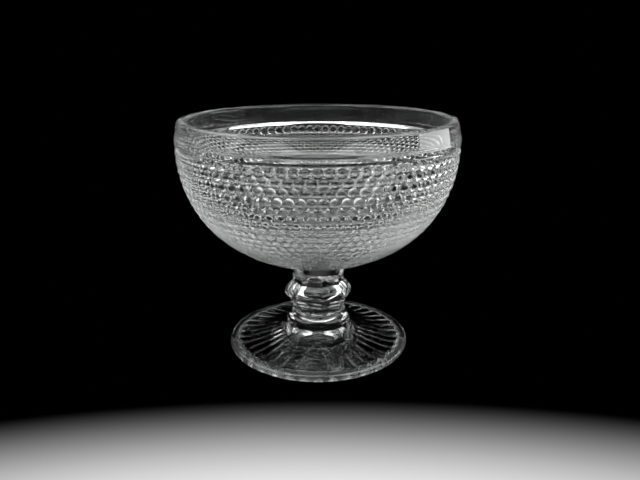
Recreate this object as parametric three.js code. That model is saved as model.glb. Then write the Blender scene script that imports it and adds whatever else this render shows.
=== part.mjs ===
// Footed ice cream cup in clear pressed glass: plain rim band, beaded bowl, collar,
// eight-sided knop stem, round pad and rayed foot. Millimetres, +Z up, the axis of the cup
// on Z and the table at Z = 0. Every section stands on the one below it.
import * as THREE from "three";

// Foot
const FOOT_RADIUS = 35.7;
const FOOT_EDGE = 2.6; // height of the rounded edge
const FOOT_RISE = 6.8; // climb of the hollow flare from the edge to the pad
const EDGE_ROUND = 1.8; // how far the edge bulges
const REST_WIDTH = 1.9; // flat ring that stands on the table
const STEP_HEIGHT = 1.5; // rounded rise from the ring to the rayed hollow
const STEP_WIDTH = 1.5;
const KICK = 3; // hollow under the foot, at its middle
const RAY_COUNT = 38;
const RAY_DEPTH = 0.5;

// Pad between the foot and the stem
const PAD_RADIUS = 12.7;
const PAD_HEIGHT = 4;
const PAD_ROUND = 1.5;

// Stem, measured to its corners
const STEM_SIDES = 8;
const STEM_TURN = 6; // degrees from the front to a corner, towards +X
const FLARE_RADIUS = 11;
const FLARE_HEIGHT = 2.6;
const WAIST_RADIUS = 10.3;
const LOWER_FLANK = 5.6;
const KNOP_RADIUS = 13.3;
const UPPER_FLANK = 4.65;
const NECK_RADIUS = 10.1;
const NECK_HEIGHT = 3.05;

// Collar under the bowl
const COLLAR_RADIUS = 10.1;
const COLLAR_HEIGHT = 5.75;

// Bowl. The radius is over the beads
const BOWL_RADIUS = 52.25;
const BOWL_DEPTH = 46.55;
const BOWL_FULLNESS = 2.17; // 2 is a true ellipse, more is fuller
const WALL = 3.4; // glass behind the beads
const FLOOR = 6;
const BEAD_COUNT = 88; // beads in a row
const BEAD_ROWS = 13;
const BEAD_RISE = 0.75;
const GROOVE = 0.5; // plain strip above the first row

// Rim band
const BAND_HEIGHT = 8.5;
const RING_HEIGHT = 2.4; // raised ring at the foot of the band
const RING_PROUD = 0.1; // its stand over the beads
const RING_EASE = 0.8; // rounded step from the ring to the band
const CHAMFER = 0.7; // slope from the groove up to the ring
const BAND_INSET = 0.15; // start of the band, inside the beads
const BAND_TAPER = 1;
const LIP_WIDTH = 3.1;
const LIP_HEIGHT = 1.2;

// Fineness of the curved faces
const ROUND_STEPS = 48;
const CURVE_STEPS = 4;
const INSIDE_STEPS = 10;
const BASE_STEPS = 7;
const UNDER_STEPS = 6;

const grooveRadius = BOWL_RADIUS - BEAD_RISE;
const insideRadius = grooveRadius - WALL;

function glass() {
  return new THREE.MeshStandardMaterial({
    color: 0xdfe5e3,
    roughness: 0.06,
    metalness: 0,
    transparent: true,
    opacity: 0.35,
  });
}

// A solid turned about Z. The outline runs up the outside, radius first and height second.
function turned(outline, steps, start = 0) {
  const geometry = new THREE.LatheGeometry(outline, steps, start);
  geometry.rotateX(Math.PI / 2);
  return geometry;
}

function outlineOf(path) {
  return path.getPoints(CURVE_STEPS);
}

// Foot with a hollow, rayed underside: every second step of the turn is cut up by a ray
function footShape() {
  const height = FOOT_EDGE + FOOT_RISE;
  const edgeCentre = FOOT_RADIUS - EDGE_ROUND;
  const restInside = edgeCentre - REST_WIDTH;
  const rayEnd = restInside - STEP_WIDTH;
  const under = [];
  for (let step = 0; step < UNDER_STEPS; step += 1) {
    const share = step / UNDER_STEPS;
    under.push(new THREE.Vector2(rayEnd * share, KICK - (KICK - STEP_HEIGHT) * share * share));
  }
  const path = new THREE.Path();
  path.moveTo(rayEnd, STEP_HEIGHT);
  path.quadraticCurveTo(restInside, STEP_HEIGHT, restInside, 0);
  path.lineTo(edgeCentre, 0);
  path.absellipse(edgeCentre, FOOT_EDGE / 2, EDGE_ROUND, FOOT_EDGE / 2, -Math.PI / 2, Math.PI / 2);
  const reach = edgeCentre - PAD_RADIUS;
  path.quadraticCurveTo(PAD_RADIUS + 0.4 * reach, FOOT_EDGE + 0.12 * FOOT_RISE, PAD_RADIUS, height);
  path.lineTo(0, height);
  const outline = under.concat(outlineOf(path));
  const geometry = turned(outline, 2 * RAY_COUNT);
  const position = geometry.getAttribute("position");
  for (let turn = 1; turn < 2 * RAY_COUNT; turn += 2) {
    for (let step = 1; step < UNDER_STEPS; step += 1) {
      const index = turn * outline.length + step;
      position.setZ(index, position.getZ(index) + RAY_DEPTH);
    }
  }
  return geometry;
}

function padShape() {
  const path = new THREE.Path();
  path.moveTo(0, 0);
  path.lineTo(PAD_RADIUS, 0);
  path.lineTo(PAD_RADIUS, PAD_HEIGHT - PAD_ROUND);
  path.absarc(PAD_RADIUS - PAD_ROUND, PAD_HEIGHT - PAD_ROUND, PAD_ROUND, 0, Math.PI / 2);
  path.lineTo(0, PAD_HEIGHT);
  return turned(outlineOf(path), ROUND_STEPS);
}

// Stem with flat sides, a corner near the front
function stemShape() {
  const knop = FLARE_HEIGHT + LOWER_FLANK;
  const neck = knop + UPPER_FLANK;
  const path = new THREE.Path();
  path.moveTo(0, 0);
  path.lineTo(FLARE_RADIUS, 0);
  path.quadraticCurveTo(WAIST_RADIUS, 0.25 * FLARE_HEIGHT, WAIST_RADIUS, FLARE_HEIGHT);
  path.bezierCurveTo(
    WAIST_RADIUS,
    FLARE_HEIGHT + 0.45 * LOWER_FLANK,
    KNOP_RADIUS,
    knop - 0.4 * LOWER_FLANK,
    KNOP_RADIUS,
    knop,
  );
  path.quadraticCurveTo(KNOP_RADIUS, knop + 0.5 * UPPER_FLANK, NECK_RADIUS, neck);
  path.lineTo(NECK_RADIUS, neck + NECK_HEIGHT);
  path.lineTo(0, neck + NECK_HEIGHT);
  return turned(outlineOf(path), STEM_SIDES, (STEM_TURN * Math.PI) / 180);
}

function collarShape() {
  const path = new THREE.Path();
  path.moveTo(0, 0);
  path.lineTo(COLLAR_RADIUS, 0);
  path.lineTo(COLLAR_RADIUS, COLLAR_HEIGHT);
  path.lineTo(0, COLLAR_HEIGHT);
  return turned(outlineOf(path), ROUND_STEPS);
}

// Bowl wall: a full ellipse that hangs from the band and reaches the collar at its own radius.
// The turn runs from 0 at the band to 1 under the bowl; the inset goes in from the bead tops.
const bowlDrop = BOWL_DEPTH / (1 - (COLLAR_RADIUS / BOWL_RADIUS) ** BOWL_FULLNESS) ** (1 / BOWL_FULLNESS);

function wallPoint(turn, inset) {
  const angle = (turn * Math.PI) / 2;
  const power = 2 / BOWL_FULLNESS;
  const radius = BOWL_RADIUS * Math.cos(angle) ** power;
  const height = BOWL_DEPTH - bowlDrop * Math.sin(angle) ** power;
  const slopeOut = (radius / BOWL_RADIUS) ** (BOWL_FULLNESS - 1) / BOWL_RADIUS;
  const slopeDown = ((BOWL_DEPTH - height) / bowlDrop) ** (BOWL_FULLNESS - 1) / bowlDrop;
  const length = Math.hypot(slopeOut, slopeDown);
  return new THREE.Vector2(radius - (inset * slopeOut) / length, height + (inset * slopeDown) / length);
}

// Turns of the bowl wall for rings that keep the beads in true hexagons as the wall narrows
function ringTurns(count) {
  const stride = (Math.sqrt(3) / 2) * ((2 * Math.PI) / BEAD_COUNT) / 3;
  const turns = [];
  const fine = 0.0002;
  let run = -GROOVE / BOWL_RADIUS;
  let last = wallPoint(0, 0);
  for (let turn = fine; turns.length < count && turn < 1; turn += fine) {
    const next = wallPoint(turn, 0);
    run += next.distanceTo(last) / next.x;
    last = next;
    if (run >= turns.length * stride) {
      turns.push(turn);
    }
  }
  return turns;
}

// Vertices in rings about Z and the triangles between them
class Skin {
  constructor() {
    this.places = [];
    this.faces = [];
  }

  point(radius, angle, height) {
    this.places.push(radius * Math.sin(angle), -radius * Math.cos(angle), height);
    return this.places.length / 3 - 1;
  }

  ring(place, shift) {
    const indices = [];
    for (let k = 0; k < BEAD_COUNT; k += 1) {
      indices.push(this.point(place.x, ((k + shift) * 2 * Math.PI) / BEAD_COUNT, place.y));
    }
    return indices;
  }

  face(a, b, c) {
    this.faces.push(a, b, c);
  }

  // Skin between two rings, the second one lower on the outside or higher on the inside
  join(first, second) {
    first.forEach((a, k) => {
      const next = (k + 1) % first.length;
      this.face(a, second[k], first[next]);
      this.face(first[next], second[k], second[next]);
    });
  }

  // Skin from a ring to one point in its middle
  close(ring, middle) {
    ring.forEach((a, k) => this.face(a, middle, ring[(k + 1) % ring.length]));
  }

  geometry() {
    const geometry = new THREE.BufferGeometry();
    geometry.setAttribute("position", new THREE.Float32BufferAttribute(this.places, 3));
    geometry.setIndex(this.faces);
    geometry.computeVertexNormals();
    return geometry;
  }
}

// Bowl with rows of six-sided beads, each row half a bead round from the last
function bowlShape() {
  const skin = new Skin();
  const turns = ringTurns(3 * BEAD_ROWS + 2);
  const last = turns.length - 1;
  const rise = (turn) => (BEAD_RISE * wallPoint(turn, 0).x) / BOWL_RADIUS;
  const isTop = (ring) => ring % 3 === 2;
  const shift = (ring) => (ring % 2) / 2;
  const rings = turns.map((turn, k) => skin.ring(wallPoint(turn, isTop(k) ? 0 : rise(turn)), shift(k)));
  const at = (ring, column) => rings[ring][(column + BEAD_COUNT) % BEAD_COUNT];

  for (let ring = 2; ring < last; ring += 3) {
    const odd = ring % 2;
    for (let k = 0; k < BEAD_COUNT; k += 1) {
      const right = k + odd;
      const left = right - 1;
      const around = [
        at(ring - 2, k),
        at(ring - 1, left),
        at(ring + 1, left),
        at(ring + 2, k),
        at(ring + 1, right),
        at(ring - 1, right),
      ];
      around.forEach((valley, side) => skin.face(at(ring, k), valley, around[(side + 1) % 6]));
    }
  }
  for (let k = 0; k < BEAD_COUNT; k += 1) {
    skin.face(at(0, k), at(1, k), at(0, k + 1));
    const above = k + 1 - (last % 2 ? 0 : 1);
    skin.face(at(last - 1, above), at(last, k), at(last, k + 1));
  }

  const top = skin.ring(new THREE.Vector2(grooveRadius, BOWL_DEPTH), 0);
  skin.join(top, rings[0]);

  const baseTurn = (Math.acos((COLLAR_RADIUS / BOWL_RADIUS) ** (BOWL_FULLNESS / 2)) * 2) / Math.PI;
  let lower = rings[last];
  for (let step = 1; step <= BASE_STEPS; step += 1) {
    const turn = turns[last] + ((baseTurn - turns[last]) * step) / BASE_STEPS;
    const place = step < BASE_STEPS ? wallPoint(turn, rise(turn) / 2) : new THREE.Vector2(COLLAR_RADIUS, 0);
    const next = skin.ring(place, shift(last));
    skin.join(lower, next);
    lower = next;
  }
  skin.close(lower, skin.point(0, 0, 0));

  let inner = top;
  for (let step = 0; step < INSIDE_STEPS; step += 1) {
    const angle = (step * Math.PI) / (2 * INSIDE_STEPS);
    const radius = insideRadius * Math.cos(angle) ** (2 / BOWL_FULLNESS);
    const height = BOWL_DEPTH - (BOWL_DEPTH - FLOOR) * Math.sin(angle) ** (2 / BOWL_FULLNESS);
    const next = skin.ring(new THREE.Vector2(radius, height), 0);
    skin.join(next, inner);
    inner = next;
  }
  const floor = skin.point(0, 0, FLOOR);
  inner.forEach((a, k) => skin.face(a, inner[(k + 1) % BEAD_COUNT], floor));
  return skin.geometry();
}

function bandShape() {
  const ringRadius = BOWL_RADIUS + RING_PROUD;
  const start = BOWL_RADIUS - BAND_INSET;
  const lipOutside = start - BAND_TAPER;
  const lipFoot = BAND_HEIGHT - LIP_HEIGHT;
  const path = new THREE.Path();
  path.moveTo(insideRadius, 0);
  path.lineTo(grooveRadius, 0);
  path.lineTo(ringRadius, CHAMFER);
  path.lineTo(ringRadius, RING_HEIGHT - RING_EASE);
  path.quadraticCurveTo(ringRadius, RING_HEIGHT - RING_EASE / 2, start, RING_HEIGHT);
  path.lineTo(lipOutside, lipFoot);
  path.absellipse(lipOutside - LIP_WIDTH / 2, lipFoot, LIP_WIDTH / 2, LIP_HEIGHT, 0, Math.PI);
  path.lineTo(insideRadius, 0);
  return turned(outlineOf(path), BEAD_COUNT);
}

const sections = [
  ["foot", footShape(), FOOT_EDGE + FOOT_RISE],
  ["foot_pad", padShape(), PAD_HEIGHT],
  ["stem_knop", stemShape(), FLARE_HEIGHT + LOWER_FLANK + UPPER_FLANK + NECK_HEIGHT],
  ["bowl_collar", collarShape(), COLLAR_HEIGHT],
  ["bowl", bowlShape(), BOWL_DEPTH],
  ["rim_band", bandShape(), BAND_HEIGHT],
];

const cup = new THREE.Group();
cup.name = "ice_cream_cup";
let level = 0;
for (const [name, geometry, height] of sections) {
  const mesh = new THREE.Mesh(geometry, glass());
  mesh.name = name;
  mesh.position.z = level;
  cup.add(mesh);
  level += height;
}

export default cup;
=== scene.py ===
"""Footed ice cream cup in clear pressed glass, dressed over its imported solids.

Named sizes are in millimetres, as on a drawing, and the meshes are in metres.
"""
import math

import bpy
import numpy as np
from mathutils import Matrix, Vector


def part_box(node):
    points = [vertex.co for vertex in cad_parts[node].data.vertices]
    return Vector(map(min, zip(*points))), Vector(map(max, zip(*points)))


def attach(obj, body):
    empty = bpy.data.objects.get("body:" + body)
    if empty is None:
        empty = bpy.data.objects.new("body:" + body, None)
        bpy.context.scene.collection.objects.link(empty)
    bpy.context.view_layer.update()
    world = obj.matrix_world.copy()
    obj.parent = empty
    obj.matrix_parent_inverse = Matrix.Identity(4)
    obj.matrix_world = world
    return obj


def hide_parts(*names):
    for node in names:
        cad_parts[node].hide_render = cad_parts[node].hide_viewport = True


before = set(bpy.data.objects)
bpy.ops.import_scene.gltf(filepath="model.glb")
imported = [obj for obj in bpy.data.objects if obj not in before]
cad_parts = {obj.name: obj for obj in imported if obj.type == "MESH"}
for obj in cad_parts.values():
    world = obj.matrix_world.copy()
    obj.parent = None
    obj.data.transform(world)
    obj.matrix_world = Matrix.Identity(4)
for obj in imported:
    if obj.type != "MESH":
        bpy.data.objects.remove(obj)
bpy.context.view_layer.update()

MM = 0.001


# Sizes that the solids fix
def node_top(node):
    """Upper level of a node, in millimetres."""
    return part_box(node)[1].z / MM


def node_reach(node):
    """Reach of a node along X, in millimetres."""
    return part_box(node)[1].x / MM


FOOT_TOP = node_top("foot")
PAD_TOP = node_top("foot_pad")
STEM_TOP = node_top("stem_knop")
COLLAR_TOP = node_top("bowl_collar")
BOWL_TOP = node_top("bowl")
RIM_TOP = node_top("rim_band")
FOOT_RADIUS = node_reach("foot")
PAD_RADIUS = node_reach("foot_pad")
COLLAR_RADIUS = node_reach("bowl_collar")

# Foot
FOOT_EDGE = 3.2  # height of the rounded edge
EDGE_ROUND = 1.8  # how far the edge bulges
SLOPE_BEND = 0.4  # bend of the slope above, as a share of the way from the pad to the edge
SLOPE_BEND_RISE = 0.12  # height of that bend, as a share of the slope's climb
REST_WIDTH = 0.4  # flat ring that stands on the table
REST_ROUND = 2.8  # width of the rounded rise from the ring to the rayed hollow
STEP_HEIGHT = 1.5  # height of that rise
KICK = 6.0  # height of the hollow in the middle
RAY_COUNT = 38
RAY_DEPTH = 0.5  # at the outer ends of the rays
RAY_INSIDE = 14.0  # radius at which the rays begin
SCALLOP = 0.7  # how far the top of the rise swings outwards at each ray

# Pad
PAD_ROUND = 2.6

# Stem, measured to its corners. A pull places a curve's control, as a share of the curve's height
STEM_SIDES = 8
STEM_TURN = 6.0  # degrees from the front to a corner, towards +X
FLARE_RADIUS = 11.0
FLARE_HEIGHT = 2.6
FLARE_PULL = 0.25
WAIST_RADIUS = 10.3
WAIST_PULL = 0.45
LOWER_FLANK = 5.6  # from the waist up to the knop
KNOP_PULL = 0.4
UPPER_FLANK = 4.65  # from the knop up to the neck
NECK_PULL = 0.5
NECK_RADIUS = 10.1
CORNER_SHARPNESS = 90  # power that eases the corners
LEDGE = 0.985  # fused face of a neighbour, as a share of the stem's end
KNOP_RADIUS = node_reach("stem_knop") / math.cos(math.radians(STEM_TURN))

# Collar
COLLAR_EASE = 0.1  # rounded lower corner

# Bowl
BOWL_RADIUS = 52.25  # over the beads
BOWL_FULLNESS = 2.17  # power of the outline, where 2 is an ellipse
WALL = 4.15
FLOOR = 6.0
FILLET = 0.7  # hollow corner into the collar
GROOVE = 0.5  # plain strip over the first row of beads
BEAD_COUNT = 88  # beads in a row
BEAD_RISE = 1.2
BEAD_FILL = 0.98  # share of its row's pitch that a bead covers
LOWEST_RISE = 0.12  # share of the rise that the lower beads keep
FULL_RISE_RADIUS = 48.0  # radius of the wall at which the beads begin to flatten
LOWEST_RISE_RADIUS = 38.0  # radius of the wall at which they are at their flattest
LAST_BEAD_RADIUS = 14.0  # radius of the wall at which the rows end

# Rim band
CHAMFER_DROP = 0.5  # slope from the groove up to the ring, below the bowl's upper level
CHAMFER_RISE = 0.6  # the same slope, above that level
RING_PROUD = 0.1  # stand of the ring over the beads
RING_HEIGHT = 2.4
RING_EASE = 0.8  # rounded step from the ring to the band
BAND_INSET = 0.15  # start of the band, inside the beads
BAND_TAPER = 1.0
INSIDE_COVE = 0.2  # hollow of the band's inside
LIP_WIDTH = 3.1
LIP_HEIGHT = 1.2
LIP_ROUND = 1.3  # outer corner of the lip
LIP_EASE = 0.9  # inner corner of the lip

groove_radius = BOWL_RADIUS - BEAD_RISE
ring_radius = BOWL_RADIUS + RING_PROUD
chamfer_share = CHAMFER_DROP / (CHAMFER_DROP + CHAMFER_RISE)
seam_radius = groove_radius + (ring_radius - groove_radius) * chamfer_share
inside_radius = BOWL_RADIUS - WALL
bowl_depth = BOWL_TOP - COLLAR_TOP

# Fineness
ROUND_STEPS = 2 * BEAD_COUNT
STEM_SHIFT = STEM_TURN * ROUND_STEPS / 360  # the stem's turn, in steps
CURVE_STEPS = 14
STEPS_PER_RAY = 10
REST_STEPS = 2
RISE_STEPS = 10
GROUND_STEPS = 8  # lower steps of the rise, which are ground like the resting ring
HOLLOW_RINGS = 24
HOLLOW_MIDDLE = 1.0  # radius of the hollow's last ring
SLOPE_STEPS = 24
BEAD_CORNERS = 6  # points between the beads round each bead
BEAD_STEPS = 2 * BEAD_CORNERS
FINE_ROWS = 15  # upper rows, whose beads have the most rings
FINE_RINGS = 4
MIDDLE_ROWS = 24  # upper and middle rows together
MIDDLE_RINGS = 3
SMALL_BEAD_RINGS = (0.6, 1.0)  # rings of a lower bead, as shares of its radius
WALL_SAMPLES = 4000
TAIL_RINGS = 8
INSIDE_RINGS = 28
SHARP_ANGLE = 48  # degrees between faces from which an edge stays sharp

# Material slots of every glass mesh: open surface, face fused to the next section, ground surface
SURFACE = 0
FUSED = 1
GROUND = 2


class Skin:
    """Rings of points about Z, with the faces between them. Faces look outwards."""

    def __init__(self):
        self.points = []
        self.faces = []
        self.kinds = []

    def add(self, places):
        """Adds rows of x, y, z and returns their numbers."""
        first = len(self.points)
        self.points.extend(map(tuple, places))
        return list(range(first, len(self.points)))

    def face(self, corners, kind=SURFACE):
        self.faces.append(corners)
        self.kinds.append(kind)

    def ring(self, radii, heights, steps, shift=0.0):
        """A ring of points. Radii and heights are single numbers or one for each step."""
        turn = (np.arange(steps) + shift) * 2 * math.pi / steps
        return self.add(placed(turn, np.broadcast_to(radii, steps), np.broadcast_to(heights, steps)))

    def join(self, lower, upper, kind=SURFACE):
        """Skin between two rings, the first one lower on an outside wall."""
        count = len(lower)
        for k in range(count):
            n = (k + 1) % count
            self.face((lower[k], lower[n], upper[n], upper[k]), kind)

    def strip(self, rings):
        """Skin along several rings, the first one lowest on an outside wall."""
        for lower, upper in zip(rings, rings[1:]):
            self.join(lower, upper)

    def cap(self, ring, height, kind, upwards):
        """Faces from a ring to a point on the axis."""
        middle = self.add([(0.0, 0.0, height)])[0]
        count = len(ring)
        for k in range(count):
            n = (k + 1) % count
            pair = (ring[k], ring[n]) if upwards else (ring[n], ring[k])
            self.face((middle, *pair), kind)

    def piece(self, name, node):
        """Makes the mesh object that stands for a node."""
        mesh = bpy.data.meshes.new(name)
        mesh.from_pydata([(x * MM, y * MM, z * MM) for x, y, z in self.points], [], self.faces)
        for material in (clear_glass, fused_glass, ground_glass):
            mesh.materials.append(material)
        mesh.polygons.foreach_set("material_index", self.kinds)
        mesh.polygons.foreach_set("use_smooth", [True] * len(self.faces))
        mesh.set_sharp_from_angle(angle=math.radians(SHARP_ANGLE))
        mesh.validate()
        mesh.update()
        obj = bpy.data.objects.new(name, mesh)
        bpy.context.scene.collection.objects.link(obj)
        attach(obj, "root")
        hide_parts(node)


def placed(turn, radius, height):
    """Points at turns counted from the front towards +X."""
    return np.column_stack([radius * np.sin(turn), -radius * np.cos(turn), height])


def arc(centre, radii, start, end, steps=CURVE_STEPS):
    """Points of a part of an ellipse, angles in degrees from outwards to up."""
    angles = np.radians(np.linspace(start, end, steps + 1))
    return [(centre[0] + radii[0] * math.cos(a), centre[1] + radii[1] * math.sin(a)) for a in angles]


def bezier(controls, steps=CURVE_STEPS):
    """Points of a curve with two, three or four controls."""
    degree = len(controls) - 1
    shares = np.linspace(0, 1, steps + 1)
    result = np.zeros((steps + 1, 2))
    for k, control in enumerate(controls):
        weight = math.comb(degree, k) * shares**k * (1 - shares) ** (degree - k)
        result += weight[:, None] * np.array(control)
    return [tuple(p) for p in result]


def joined(*runs):
    """One outline from several, without the doubled ends."""
    outline = list(runs[0])
    for run in runs[1:]:
        outline.extend(run[1:] if math.dist(outline[-1], run[0]) < 1e-6 else run)
    return outline


# Materials. Noise scales are in cells to a metre
GLASS_INDEX = 1.52
DEEP_TINT = (0.955, 0.975, 0.968, 1)
PALE_TINT = (0.985, 0.995, 0.99, 1)
TINT_SCALE = 30.0
SKIN_SCALE = 260.0
SKIN_SMOOTH_TO = 0.45  # noise value up to which the skin is at its smoothest
SKIN_ROUGH_FROM = 0.85  # noise value from which it is at its roughest
RIPPLE_SCALE = 140.0
RIPPLE_HEIGHT = 0.0002  # metres
RIPPLE_STRENGTH = 0.1
SHADOW_TINT = (0.3, 0.31, 0.305, 1)  # light that a shadow lets through


def noise(tree, place, scale, detail):
    """The value of a noise texture over the object's own coordinates."""
    texture = tree.nodes.new("ShaderNodeTexNoise")
    texture.inputs["Scale"].default_value = scale
    texture.inputs["Detail"].default_value = detail
    tree.links.new(place.outputs["Object"], texture.inputs["Vector"])
    return texture.outputs["Fac"]


def glass_material(name, clearness, smoothest, roughest):
    """Pressed glass with a faint tint, an uneven skin and chill ripples.

    Clearness is the share of the light that goes in, and the roughness lies between the last two.
    Some of the lamps' light passes straight through to the table.
    """
    material = bpy.data.materials.new(name)
    material.use_nodes = True
    tree = material.node_tree
    nodes = tree.nodes
    links = tree.links
    shader = nodes["Principled BSDF"]
    shader.inputs["Transmission Weight"].default_value = clearness
    shader.inputs["IOR"].default_value = GLASS_INDEX
    place = nodes.new("ShaderNodeTexCoord")

    tints = nodes.new("ShaderNodeValToRGB")
    tints.color_ramp.elements[0].color = DEEP_TINT
    tints.color_ramp.elements[1].color = PALE_TINT
    links.new(noise(tree, place, TINT_SCALE, detail=2.0), tints.inputs["Fac"])
    links.new(tints.outputs["Color"], shader.inputs["Base Color"])

    dullness = nodes.new("ShaderNodeMapRange")
    dullness.inputs["From Min"].default_value = SKIN_SMOOTH_TO
    dullness.inputs["From Max"].default_value = SKIN_ROUGH_FROM
    dullness.inputs["To Min"].default_value = smoothest
    dullness.inputs["To Max"].default_value = roughest
    links.new(noise(tree, place, SKIN_SCALE, detail=3.0), dullness.inputs["Value"])
    links.new(dullness.outputs["Result"], shader.inputs["Roughness"])

    ripples = nodes.new("ShaderNodeBump")
    ripples.inputs["Strength"].default_value = RIPPLE_STRENGTH
    ripples.inputs["Distance"].default_value = RIPPLE_HEIGHT
    links.new(noise(tree, place, RIPPLE_SCALE, detail=1.0), ripples.inputs["Height"])
    links.new(ripples.outputs["Normal"], shader.inputs["Normal"])

    rays = nodes.new("ShaderNodeLightPath")
    open_glass = nodes.new("ShaderNodeBsdfTransparent")
    open_glass.inputs["Color"].default_value = SHADOW_TINT
    mix = nodes.new("ShaderNodeMixShader")
    links.new(rays.outputs["Is Shadow Ray"], mix.inputs["Fac"])
    links.new(shader.outputs["BSDF"], mix.inputs[1])
    links.new(open_glass.outputs["BSDF"], mix.inputs[2])
    links.new(mix.outputs["Shader"], nodes["Material Output"].inputs["Surface"])
    return material


def fused_material():
    """Where two sections are one glass: light goes straight on."""
    material = bpy.data.materials.new("fused_glass")
    material.use_nodes = True
    shader = material.node_tree.nodes["Principled BSDF"]
    shader.inputs["Alpha"].default_value = 0.0
    return material


clear_glass = glass_material("clear_pressed_glass", clearness=1.0, smoothest=0.0, roughest=0.02)
ground_glass = glass_material("ground_glass", clearness=0.8, smoothest=0.1, roughest=0.45)
fused_glass = fused_material()


# Rim band: raised ring over the groove's chamfer, plain band, hollowed inside, and rounded lip
def rim_band():
    ring_bottom = (ring_radius, BOWL_TOP + CHAMFER_RISE)
    ring_top = (ring_radius, BOWL_TOP + RING_HEIGHT - RING_EASE)
    band_foot = (BOWL_RADIUS - BAND_INSET, BOWL_TOP + RING_HEIGHT)
    band_head = (band_foot[0] - BAND_TAPER, RIM_TOP - LIP_HEIGHT)
    inside_head = (band_head[0] - LIP_WIDTH, band_head[1])
    inside_middle = (
        (inside_head[0] + inside_radius) / 2 + 2 * INSIDE_COVE,
        (inside_head[1] + BOWL_TOP) / 2,
    )
    lip_outside = (band_head[0] - LIP_ROUND, band_head[1])
    lip_inside = (inside_head[0] + LIP_EASE, band_head[1])
    outline = joined(
        bezier([(seam_radius, BOWL_TOP), ring_bottom], steps=2),
        bezier([ring_bottom, ring_top], steps=3),
        bezier([ring_top, (ring_radius, band_foot[1] - RING_EASE / 2), band_foot], steps=6),
        bezier([band_foot, band_head], steps=4),
        arc(lip_outside, (LIP_ROUND, LIP_HEIGHT), 0, 90, steps=8),
        arc(lip_inside, (LIP_EASE, LIP_HEIGHT), 90, 180, steps=8),
        bezier([inside_head, inside_middle, (inside_radius, BOWL_TOP)]),
    )
    skin = Skin()
    rings = [skin.ring(r, z, ROUND_STEPS) for r, z in outline]
    skin.strip(rings)
    skin.join(rings[-1], rings[0], FUSED)
    skin.piece("rim_band_glass", "rim_band")


# Bowl wall. Its outline hangs from the band and reaches the collar at the collar's own radius
bowl_drop = bowl_depth / (1 - (COLLAR_RADIUS / BOWL_RADIUS) ** BOWL_FULLNESS) ** (1 / BOWL_FULLNESS)


class Wall:
    """The bowl's outside over its beads, by a run that keeps shapes true on the narrowing wall."""

    def __init__(self):
        angle = np.linspace(0, math.pi / 2, WALL_SAMPLES, endpoint=False)
        power = 2 / BOWL_FULLNESS
        self.radius = BOWL_RADIUS * np.cos(angle) ** power
        self.drop = bowl_drop * np.sin(angle) ** power
        out = (self.radius / BOWL_RADIUS) ** (BOWL_FULLNESS - 1) / BOWL_RADIUS
        down = (self.drop / bowl_drop) ** (BOWL_FULLNESS - 1) / bowl_drop
        length = np.hypot(out, down)
        self.out = out / length
        self.down = down / length
        step = np.hypot(np.diff(self.radius), np.diff(self.drop)) / self.radius[1:]
        self.run = np.concatenate([[0], np.cumsum(step)])

    def at_radius(self, radius):
        """The run at which the wall has this radius."""
        return float(np.interp(-radius, -self.radius, self.run))

    def height(self, run):
        """The wall's level at a run."""
        return BOWL_TOP - np.interp(run, self.run, self.drop)

    def place(self, turn, run, lift):
        """Points on the wall. Lift is 0 between the beads and 1 on their tops."""
        radius = np.interp(run, self.run, self.radius)
        share = np.interp(radius, [LOWEST_RISE_RADIUS, FULL_RISE_RADIUS], [LOWEST_RISE, 1.0])
        inset = BEAD_RISE * share * (radius / BOWL_RADIUS) * (1 - lift)
        radius = radius - inset * np.interp(run, self.run, self.out)
        height = self.height(run) + inset * np.interp(run, self.run, self.down)
        return placed(turn, radius, height)


def bead_rings(row):
    """Rings of a bead as shares of its radius, with their lift. Lower rows need fewer rings."""
    base = BEAD_FILL * math.pi * BOWL_RADIUS / BEAD_COUNT
    ball = (base**2 + BEAD_RISE**2) / (2 * BEAD_RISE)
    shares = np.array(SMALL_BEAD_RINGS)
    if row < MIDDLE_ROWS:
        count = FINE_RINGS if row < FINE_ROWS else MIDDLE_RINGS
        shares = np.sin(np.linspace(0, 1, count + 1)[1:] * math.pi / 2)
    lifts = (np.sqrt(ball**2 - (shares * base) ** 2) - (ball - BEAD_RISE)) / BEAD_RISE
    return list(zip(shares, lifts))


def bead_faces(skin, top, circles, corners):
    """Skin of one bead: its top, the strips between its circles, and the web out to its corners."""
    for k in range(BEAD_STEPS):
        n = (k + 1) % BEAD_STEPS
        skin.face((top, circles[0][k], circles[0][n]))
        for inner, outer in zip(circles, circles[1:]):
            skin.face((inner[k], outer[k], outer[n], inner[n]))
    for k in range(BEAD_CORNERS):
        n = (k + 1) % BEAD_CORNERS
        near, middle, far = (circles[-1][(2 * k + step) % BEAD_STEPS] for step in (1, 2, 3))
        skin.face((near, corners[k], middle))
        skin.face((middle, corners[k], corners[n]))
        skin.face((middle, corners[n], far))


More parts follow.
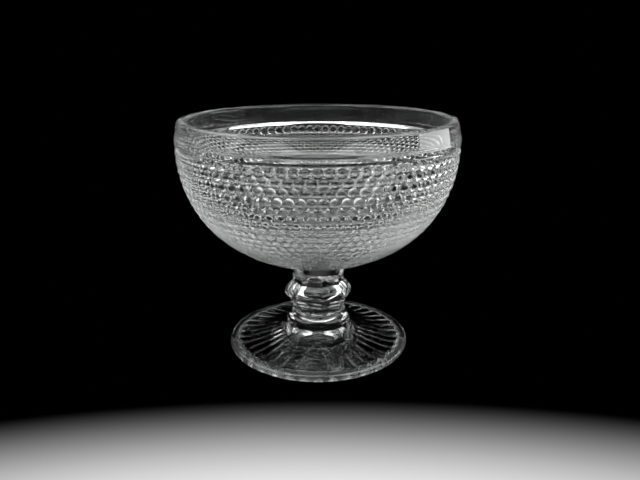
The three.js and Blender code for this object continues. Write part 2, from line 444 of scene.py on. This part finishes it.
def bead_wall(skin, wall):
    """The outside with its beads. Returns its upper edge, its lower edge and the run down there."""
    pitch = 2 * math.pi / BEAD_COUNT
    stride = pitch * math.sqrt(3) / 6  # a third of the way from row to row in a honeycomb
    start = GROOVE / BOWL_RADIUS
    rows = int((wall.at_radius(LAST_BEAD_RADIUS) - start) / (3 * stride))
    columns = np.arange(BEAD_COUNT)

    # Points between the beads, in rings a stride apart, every second ring half a bead round
    valleys = {}
    for ring in range(3 * rows + 2):
        if ring % 3 != 2:
            turn = (columns + (ring % 2) / 2) * pitch
            run = np.full(BEAD_COUNT, start + ring * stride)
            valleys[ring] = skin.add(wall.place(turn, run, 0.0))

    # Beads, in the middle of the six points round each
    around = np.arange(BEAD_STEPS) * 2 * math.pi / BEAD_STEPS
    bead = BEAD_FILL * pitch / 2
    for row in range(rows):
        ring = 3 * row + 2
        odd = ring % 2
        middle_turn = (columns + odd / 2) * pitch
        middle_run = start + ring * stride
        tops = skin.add(wall.place(middle_turn, np.full(BEAD_COUNT, middle_run), 1.0))
        circles = []
        for share, lift in bead_rings(row):
            turn = middle_turn[:, None] + share * bead * np.cos(around)[None, :]
            run = np.broadcast_to(middle_run - share * bead * np.sin(around)[None, :], turn.shape)
            numbers = skin.add(wall.place(turn.ravel(), run.ravel(), lift))
            circles.append(np.array(numbers).reshape(BEAD_COUNT, BEAD_STEPS).tolist())
        for k in range(BEAD_COUNT):
            right = (k + odd) % BEAD_COUNT
            left = (k + odd - 1) % BEAD_COUNT
            corners = [
                valleys[ring - 1][right],
                valleys[ring - 2][k],
                valleys[ring - 1][left],
                valleys[ring + 1][left],
                valleys[ring + 2][k],
                valleys[ring + 1][right],
            ]
            bead_faces(skin, tops[k], [circle[k] for circle in circles], corners)

    def zigzag(first):
        """The points of a valley ring and the next one, in order round the bowl."""
        even, odd = (first, first + 1) if first % 2 == 0 else (first + 1, first)
        return [valleys[odd if k % 2 else even][k // 2] for k in range(ROUND_STEPS)]

    return zigzag(0), zigzag(3 * rows), start + (3 * rows + 1) * stride


def wall_tail(skin, wall, lower, last_run):
    """Plain glass under the last row, with a fillet into the collar. Returns the fillet's foot."""
    tail_end = COLLAR_RADIUS + FILLET
    end_run = wall.at_radius(tail_end)
    turn = np.arange(ROUND_STEPS) * 2 * math.pi / ROUND_STEPS
    for share in np.linspace(0, 1, TAIL_RINGS + 1)[1:]:
        run = np.full(ROUND_STEPS, last_run + share * (end_run - last_run))
        ring = skin.add(wall.place(turn, run, share))
        skin.join(ring, lower)
        lower = ring
    fillet_foot = float(wall.height(end_run)) - FILLET
    for r, z in arc((tail_end, fillet_foot), (FILLET, FILLET), 90, 180, steps=6)[1:]:
        ring = skin.ring(r, z, ROUND_STEPS)
        skin.join(ring, lower)
        lower = ring
    skin.cap(lower, fillet_foot, FUSED, upwards=False)
    return fillet_foot


def bowl_inside(skin, inner):
    """Smooth inside, from the ring under the band down to the floor."""
    power = 2 / BOWL_FULLNESS
    for angle in np.linspace(0, math.pi / 2, INSIDE_RINGS + 1)[1:-1]:
        radius = inside_radius * math.cos(angle) ** power
        height = BOWL_TOP - (bowl_depth - FLOOR) * math.sin(angle) ** power
        ring = skin.ring(radius, height, ROUND_STEPS)
        skin.join(inner, ring)
        inner = ring
    skin.cap(inner, COLLAR_TOP + FLOOR, SURFACE, upwards=True)


def bowl():
    """Makes the bowl and returns the level of its lower end."""
    wall = Wall()
    skin = Skin()
    upper, lower, last_run = bead_wall(skin, wall)
    groove = skin.ring(groove_radius, BOWL_TOP - CHAMFER_DROP, ROUND_STEPS)
    seam = skin.ring(seam_radius, BOWL_TOP, ROUND_STEPS)
    skin.strip([upper, groove, seam])
    lower_end = wall_tail(skin, wall, lower, last_run)
    inner = skin.ring(inside_radius, BOWL_TOP, ROUND_STEPS)
    skin.join(seam, inner, FUSED)
    bowl_inside(skin, inner)
    skin.piece("bowl_glass", "bowl")
    return lower_end


def stem_section():
    """Radius shares round the eight-sided stem from one of its eased corners."""
    turn = np.arange(ROUND_STEPS) * 2 * math.pi / ROUND_STEPS
    side = 2 * math.pi / STEM_SIDES
    off = (turn % side) - side / 2
    flat = math.cos(side / 2) / np.cos(off)
    eased = (flat**-CORNER_SHARPNESS + 1.0) ** (-1 / CORNER_SHARPNESS)
    return eased / eased.max()


# Collar: round, its lower face fused to the eight-sided stem inside a narrow ledge
def bowl_collar(end):
    skin = Skin()
    corner = (COLLAR_RADIUS - COLLAR_EASE, STEM_TOP + COLLAR_EASE)
    outline = joined(
        arc(corner, (COLLAR_EASE, COLLAR_EASE), -90, 0, steps=5),
        bezier([(COLLAR_RADIUS, corner[1]), (COLLAR_RADIUS, end)], steps=6),
    )
    stem = skin.ring(NECK_RADIUS * stem_section() * LEDGE, STEM_TOP, ROUND_STEPS, STEM_SHIFT)
    rings = [skin.ring(r, z, ROUND_STEPS, STEM_SHIFT) for r, z in outline]
    skin.strip([stem, *rings])
    skin.cap(stem, STEM_TOP, FUSED, upwards=False)
    skin.cap(rings[-1], end, FUSED, upwards=True)
    skin.piece("bowl_collar_glass", "bowl_collar")


# Stem: flared foot, waist, knop and neck, all eight-sided
def stem_knop():
    skin = Skin()
    section = stem_section()
    waist = (WAIST_RADIUS, PAD_TOP + FLARE_HEIGHT)
    knop = (KNOP_RADIUS, waist[1] + LOWER_FLANK)
    neck = (NECK_RADIUS, knop[1] + UPPER_FLANK)
    over_flare = (WAIST_RADIUS, PAD_TOP + FLARE_PULL * FLARE_HEIGHT)
    over_waist = (WAIST_RADIUS, waist[1] + WAIST_PULL * LOWER_FLANK)
    under_knop = (KNOP_RADIUS, knop[1] - KNOP_PULL * LOWER_FLANK)
    over_knop = (KNOP_RADIUS, knop[1] + NECK_PULL * UPPER_FLANK)
    outline = joined(
        bezier([(FLARE_RADIUS, PAD_TOP), over_flare, waist]),
        bezier([waist, over_waist, under_knop, knop]),
        bezier([knop, over_knop, neck]),
        bezier([neck, (NECK_RADIUS, STEM_TOP)], steps=6),
    )
    rings = [skin.ring(r * section, z, ROUND_STEPS, STEM_SHIFT) for r, z in outline]
    skin.strip(rings)
    skin.cap(rings[0], PAD_TOP, FUSED, upwards=False)
    skin.cap(rings[-1], STEM_TOP, FUSED, upwards=True)
    skin.piece("stem_knop_glass", "stem_knop")


# Pad: round, its upper face fused to the stem inside a ledge
def foot_pad():
    skin = Skin()
    corner = (PAD_RADIUS - PAD_ROUND, PAD_TOP - PAD_ROUND)
    outline = joined(
        bezier([(PAD_RADIUS, FOOT_TOP), (PAD_RADIUS, corner[1])], steps=4),
        arc(corner, (PAD_ROUND, PAD_ROUND), 0, 90, steps=8),
    )
    rings = [skin.ring(r, z, ROUND_STEPS, STEM_SHIFT) for r, z in outline]
    stem = skin.ring(FLARE_RADIUS * stem_section() * LEDGE, PAD_TOP, ROUND_STEPS, STEM_SHIFT)
    skin.strip([*rings, stem])
    skin.cap(rings[0], FOOT_TOP, FUSED, upwards=False)
    skin.cap(stem, PAD_TOP, FUSED, upwards=True)
    skin.piece("foot_pad_glass", "foot_pad")


# Foot: hollow slope above, ground resting ring, rays cut up into the hollow underneath
def foot():
    skin = Skin()
    steps = RAY_COUNT * STEPS_PER_RAY
    edge_centre = FOOT_RADIUS - EDGE_ROUND
    rest_inside = edge_centre - REST_WIDTH
    ray_end = rest_inside - REST_ROUND
    turn = np.arange(steps) * 2 * math.pi / steps
    cut = (1 - np.cos(turn * RAY_COUNT)) / 2

    def under(radius):
        """Heights round the hollow at a radius."""
        share = radius / ray_end
        grown = max(0.0, (radius - RAY_INSIDE) / (ray_end - RAY_INSIDE))
        return STEP_HEIGHT + (KICK - STEP_HEIGHT) * (1 - share**2) ** 2 + RAY_DEPTH * grown * cut

    middle = rest_inside - REST_ROUND / 2
    rise = [(rest_inside, 0.0), (middle, 0.0), (middle, STEP_HEIGHT), (ray_end, STEP_HEIGHT)]
    hollow = []
    for r, z in bezier(rise, steps=RISE_STEPS):
        swing = cut * z / STEP_HEIGHT
        hollow.append(skin.ring(r + SCALLOP * swing, z + RAY_DEPTH * swing, steps))
    for r in np.linspace(ray_end, HOLLOW_MIDDLE, HOLLOW_RINGS + 1)[1:]:
        hollow.append(skin.ring(r, under(r), steps))
    for k, (outer, inner) in enumerate(zip(hollow, hollow[1:])):
        skin.join(inner, outer, GROUND if k < GROUND_STEPS else SURFACE)
    skin.cap(hollow[-1], KICK, SURFACE, upwards=False)

    bend = (
        PAD_RADIUS + SLOPE_BEND * (edge_centre - PAD_RADIUS),
        FOOT_EDGE + SLOPE_BEND_RISE * (FOOT_TOP - FOOT_EDGE),
    )
    outline = joined(
        bezier([(rest_inside, 0.0), (edge_centre, 0.0)], steps=REST_STEPS),
        arc((edge_centre, FOOT_EDGE / 2), (EDGE_ROUND, FOOT_EDGE / 2), -90, 90),
        bezier([(edge_centre, FOOT_EDGE), bend, (PAD_RADIUS, FOOT_TOP)], steps=SLOPE_STEPS),
    )
    lower = hollow[0]
    for k, (r, z) in enumerate(outline[1:]):
        ring = skin.ring(r, z, steps)
        skin.join(lower, ring, GROUND if k < REST_STEPS else SURFACE)
        lower = ring
    skin.cap(lower, FOOT_TOP, FUSED, upwards=True)
    skin.piece("foot_glass", "foot")


rim_band()
bowl_end = bowl()
bowl_collar(bowl_end)
stem_knop()
foot_pad()
foot()

# Table: a painted pool of light in front of the cup, fading to painted shade under and behind it.
# Metres
TABLE_HALF = 3.0
TABLE_DROP = 0.0002  # gap under the resting ring
# Painted light: the pale colour is a painted pool of light, and the black one is painted shade where
# that light falls off
PAINTED_POOL_LIGHT = (0.75, 0.75, 0.75, 1)
PAINTED_FALLOFF_SHADE = (0.0, 0.0, 0.0, 1)
LIGHT_POOL_CENTRE = (0.0, -0.15, 0.0)
LIGHT_POOL_WIDTH = 2.2  # times as wide as it is deep
LIGHT_POOL_TO = 0.05  # distance from its centre up to which the painted pool of light is brightest
PAINTED_SHADE_FROM = 0.105  # distance from its centre from which the table is painted in shade


def light_pool_table_material():
    """Matt surface with a painted pool of light round a centre in front of the cup, fading to
    painted shade.
    """
    material = bpy.data.materials.new("painted_light_pool_table")
    material.use_nodes = True
    nodes = material.node_tree.nodes
    links = material.node_tree.links
    shader = nodes["Principled BSDF"]
    shader.inputs["Roughness"].default_value = 0.7
    shader.inputs["Specular IOR Level"].default_value = 0.0
    place = nodes.new("ShaderNodeTexCoord")
    narrow = nodes.new("ShaderNodeVectorMath")
    narrow.operation = "DIVIDE"
    narrow.inputs[1].default_value = (LIGHT_POOL_WIDTH, 1.0, 1.0)
    away = nodes.new("ShaderNodeVectorMath")
    away.operation = "DISTANCE"
    away.inputs[1].default_value = LIGHT_POOL_CENTRE
    # Painted falloff from the painted pool of light into painted shade
    painted_falloff = nodes.new("ShaderNodeMapRange")
    painted_falloff.inputs["From Min"].default_value = LIGHT_POOL_TO
    painted_falloff.inputs["From Max"].default_value = PAINTED_SHADE_FROM
    ramp = nodes.new("ShaderNodeValToRGB")
    ramp.color_ramp.interpolation = "EASE"
    ramp.color_ramp.elements[0].color = PAINTED_POOL_LIGHT
    ramp.color_ramp.elements[1].color = PAINTED_FALLOFF_SHADE
    links.new(place.outputs["Object"], narrow.inputs[0])
    links.new(narrow.outputs["Vector"], away.inputs[0])
    links.new(away.outputs["Value"], painted_falloff.inputs["Value"])
    links.new(painted_falloff.outputs["Result"], ramp.inputs["Fac"])
    links.new(ramp.outputs["Color"], shader.inputs["Base Color"])
    return material


def table():
    mesh = bpy.data.meshes.new("table")
    signs = [(-1, -1), (1, -1), (1, 1), (-1, 1)]
    mesh.from_pydata([(x * TABLE_HALF, y * TABLE_HALF, 0) for x, y in signs], [], [(0, 1, 2, 3)])
    mesh.materials.append(light_pool_table_material())
    obj = bpy.data.objects.new("table", mesh)
    bpy.context.scene.collection.objects.link(obj)
    obj.location.z = -TABLE_DROP


table()

# Studio: soft lamps above, at both sides of the front, at the left, and a low one at the right
# that shows as a bright patch in the band. Metres and degrees
LAMP_TARGET = Vector((0, 0, 0.05))
WATTS_PER_RADIANCE = 4  # for each square metre of an area lamp


def softbox(name, azimuth, elevation, distance, width, height, radiance):
    """A soft lamp that looks at the cup. Azimuth runs from the front towards +X."""
    a = math.radians(azimuth)
    e = math.radians(elevation)
    way = Vector((math.sin(a) * math.cos(e), -math.cos(a) * math.cos(e), math.sin(e)))
    lamp = bpy.data.lights.new(name, "AREA")
    lamp.shape = "RECTANGLE"
    lamp.size = width
    lamp.size_y = height
    lamp.energy = WATTS_PER_RADIANCE * width * height * radiance
    obj = bpy.data.objects.new(name, lamp)
    bpy.context.scene.collection.objects.link(obj)
    obj.location = LAMP_TARGET + way * distance
    obj.rotation_euler = (-way).to_track_quat("-Z", "Y").to_euler()


softbox("lamp_above", 0, 70, 1.0, 1.3, 0.7, 2.0)
softbox("lamp_front_right", 65, 44, 1.0, 0.9, 0.7, 1.8)
softbox("lamp_front_left", -65, 44, 1.0, 0.9, 0.7, 1.9)
softbox("lamp_left", -110, 45, 1.0, 0.7, 0.6, 1.3)
softbox("lamp_side", 101, 7, 0.9, 0.64, 0.27, 3.0)

world = bpy.data.worlds.new("studio")
bpy.context.scene.world = world
world.use_nodes = True
world.node_tree.nodes["Background"].inputs["Color"].default_value = (0.0, 0.0, 0.0, 1)

# Camera at the photograph's place: millimetres, degrees and pixels
CAMERA_DISTANCE = 228.554
CAMERA_HEIGHT = 115.438
CAMERA_PITCH = 17.706
CAMERA_ROLL = 0.24
FOCAL_PIXELS = 613.211
IMAGE_WIDTH = 640
AXIS_PIXEL = 318.05  # the cup's axis, from the left of the image

camera_data = bpy.data.cameras.new("camera")
camera_data.sensor_width = 36.0
camera_data.lens = FOCAL_PIXELS * camera_data.sensor_width / IMAGE_WIDTH
camera_data.shift_x = (IMAGE_WIDTH / 2 - AXIS_PIXEL) / IMAGE_WIDTH
camera_data.clip_start = 0.01
camera = bpy.data.objects.new("camera", camera_data)
bpy.context.scene.collection.objects.link(camera)
stand = Matrix.Translation((0, -CAMERA_DISTANCE * MM, CAMERA_HEIGHT * MM))
tilt = Matrix.Rotation(math.radians(90 - CAMERA_PITCH), 4, "X")
roll = Matrix.Rotation(math.radians(-CAMERA_ROLL), 4, "Z")
camera.matrix_world = stand @ tilt @ roll
bpy.context.scene.camera = camera

# Look: plain view, and enough bounces for light to cross both walls of the bowl
scene = bpy.context.scene
scene.view_settings.view_transform = "Standard"
scene.cycles.use_denoising = True
scene.cycles.denoising_prefilter = "ACCURATE"
scene.cycles.sample_clamp_indirect = 3.0
scene.cycles.max_bounces = 32
scene.cycles.transmission_bounces = 32
scene.cycles.glossy_bounces = 16
scene.cycles.transparent_max_bounces = 32
scene.cycles.caustics_refractive = False
scene.cycles.caustics_reflective = False
